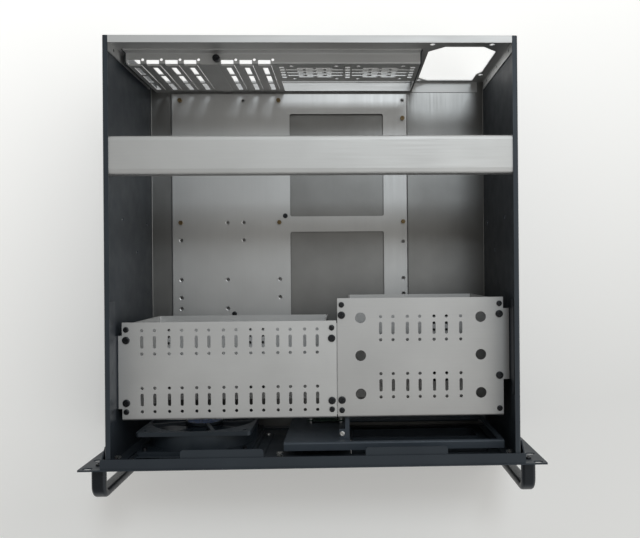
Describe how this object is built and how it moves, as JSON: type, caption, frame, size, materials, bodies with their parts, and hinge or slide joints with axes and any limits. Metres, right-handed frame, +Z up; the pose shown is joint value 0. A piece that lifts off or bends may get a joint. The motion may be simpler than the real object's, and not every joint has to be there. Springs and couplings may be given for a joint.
{
  "type": "empty rackmount server case",
  "caption": "Open-topped rackmount server case with rack ears and handles, drive cages, board tray, cross brace, slot panel and intake fan.",
  "frame": {"origin": "middle of the bottom face", "axes": "+Z up out of the open top, front panel faces -Y, +X to the right seen from the front"},
  "size_m": [0.4826, 0.4792, 0.177],
  "materials": {
    "case_paint": "dark grey semi-gloss coat",
    "plated_sheet": "plain zinc-plated sheet",
    "brass": "plain turned brass",
    "black_screw": "black oxide",
    "bright_screw": "zinc-plated",
    "handle_metal": "black anodised satin",
    "black_plastic": "moulded, fine texture",
    "board_laminate": "green solder mask",
    "lamp": "clear moulded"
  },
  "bodies": {
    "case": {"chassis_tub": "case_paint", "front_plate": "case_paint", "front_frame": "case_paint", "bay_bracket": "case_paint", "fan_bracket": "case_paint", "rear_panel": "plated_sheet", "slot_panel": "plated_sheet", "slot_cover": "plated_sheet", "cross_brace": "plated_sheet", "board_tray": "plated_sheet", "left_cage_top": "plated_sheet", "left_cage_frame": "plated_sheet", "right_cage_top": "plated_sheet", "right_cage_frame": "plated_sheet", "cage_strap": "plated_sheet", "slot_thumbscrew": "black_screw", "tray_screws": "black_screw", "cage_small_screws": "black_screw", "cage_large_screws": "black_screw", "fan_screws": "black_screw", "handle_screws": "black_screw", "front_rivets": "black_screw", "wall_rivets": "black_screw", "left_cage_rail": "case_paint", "right_cage_rail": "case_paint", "fan_bracket_screws": "bright_screw", "bay_screws": "bright_screw", "port_board_screws": "bright_screw", "port_sockets": "bright_screw", "panel_pillars": "bright_screw", "board_standoffs": "brass", "left_handle": "handle_metal", "right_handle": "handle_metal", "fan_frame": "black_plastic", "lower_bay_blank": "black_plastic", "upper_bay_blank": "black_plastic", "power_switch": "black_plastic", "reset_switch": "black_plastic", "port_board": "board_laminate", "indicator_lamps": "lamp"},
    "fan_rotor": {"fan_rotor": "black_plastic"},
    "power_button": {"power_button": "black_plastic"},
    "reset_button": {"reset_button": "black_plastic"}
  },
  "joints": [
    {"name": "fan_spin", "type": "hinge", "parent": "case", "child": "fan_rotor", "pos_m": [-0.1275, -0.2, 0.099], "axis": [0, 1, 0], "continuous": true},
    {"name": "power_press", "type": "slide", "parent": "case", "child": "power_button", "axis": [0, 1, 0], "range_m": [0, 0.0018], "stiffness_N_per_m": 600, "springref_m": -0.001},
    {"name": "reset_press", "type": "slide", "parent": "case", "child": "reset_button", "axis": [0, 1, 0], "range_m": [0, 0.0018], "stiffness_N_per_m": 400, "springref_m": -0.001}
  ]
}
